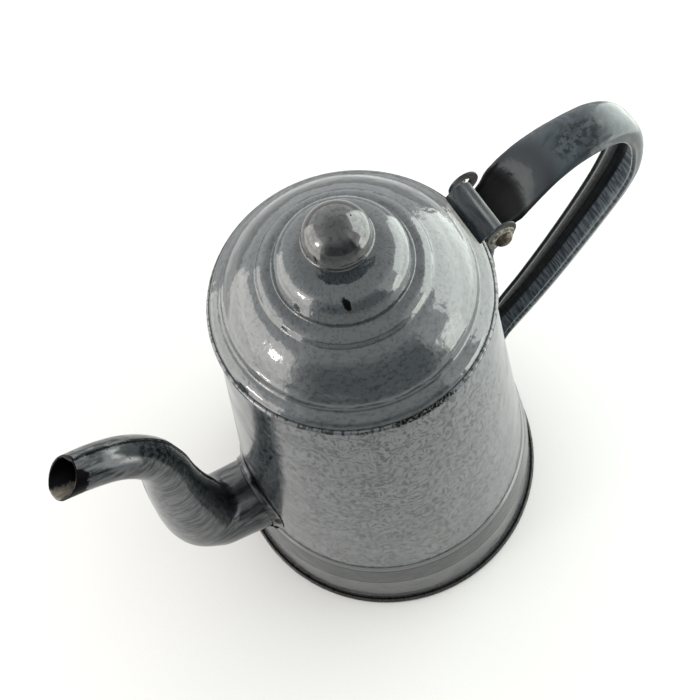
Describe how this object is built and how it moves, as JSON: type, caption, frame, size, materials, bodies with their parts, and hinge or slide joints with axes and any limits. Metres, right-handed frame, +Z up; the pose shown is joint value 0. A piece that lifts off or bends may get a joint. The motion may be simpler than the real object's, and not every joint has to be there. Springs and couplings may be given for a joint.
{
  "type": "coffee pot",
  "caption": "Enamelled sheet-steel coffee pot with a tapered body, bent pouring spout, strap handle and stepped hinged lid.",
  "frame": {"origin": "centre of the flat underside, on the surface that the pot stands on", "axes": "+Z up along the pot's axis, +X to the handle, -X to the spout"},
  "size_m": [0.256, 0.1586, 0.2564],
  "materials": {
    "body_enamel": "glossy light grey enamel with fine dark mottling",
    "lid_enamel": "glossy blue-grey enamel, faintly mottled",
    "dark_enamel": "glossy dark blue-grey enamel with streaks",
    "bare_steel": "worn bare steel",
    "brown_steel": "browned steel rivet"
  },
  "bodies": {
    "pot": {"body_shell": "body_enamel", "mouth_wire": "bare_steel", "base_band": "body_enamel", "base_pan": "body_enamel", "spout_near_half": "dark_enamel", "spout_far_half": "dark_enamel", "spout_collar": "dark_enamel", "hinge_pin": "brown_steel", "pin_washer": "bare_steel", "hinge_bracket": "dark_enamel", "handle_strap": "dark_enamel", "bracket_rivet_1": "dark_enamel", "bracket_rivet_2": "dark_enamel", "foot_rivet_1": "dark_enamel", "foot_rivet_2": "dark_enamel"},
    "lid": {"lid_dome": "lid_enamel", "lid_collar": "lid_enamel", "lid_knob": "lid_enamel", "lid_hinge_leaf": "lid_enamel"}
  },
  "joints": [
    {"name": "lid_hinge", "type": "hinge", "parent": "pot", "child": "lid", "pos_m": [0.056, 0, 0.2088], "axis": [0, 1, 0], "range_deg": [0, 110]}
  ]
}
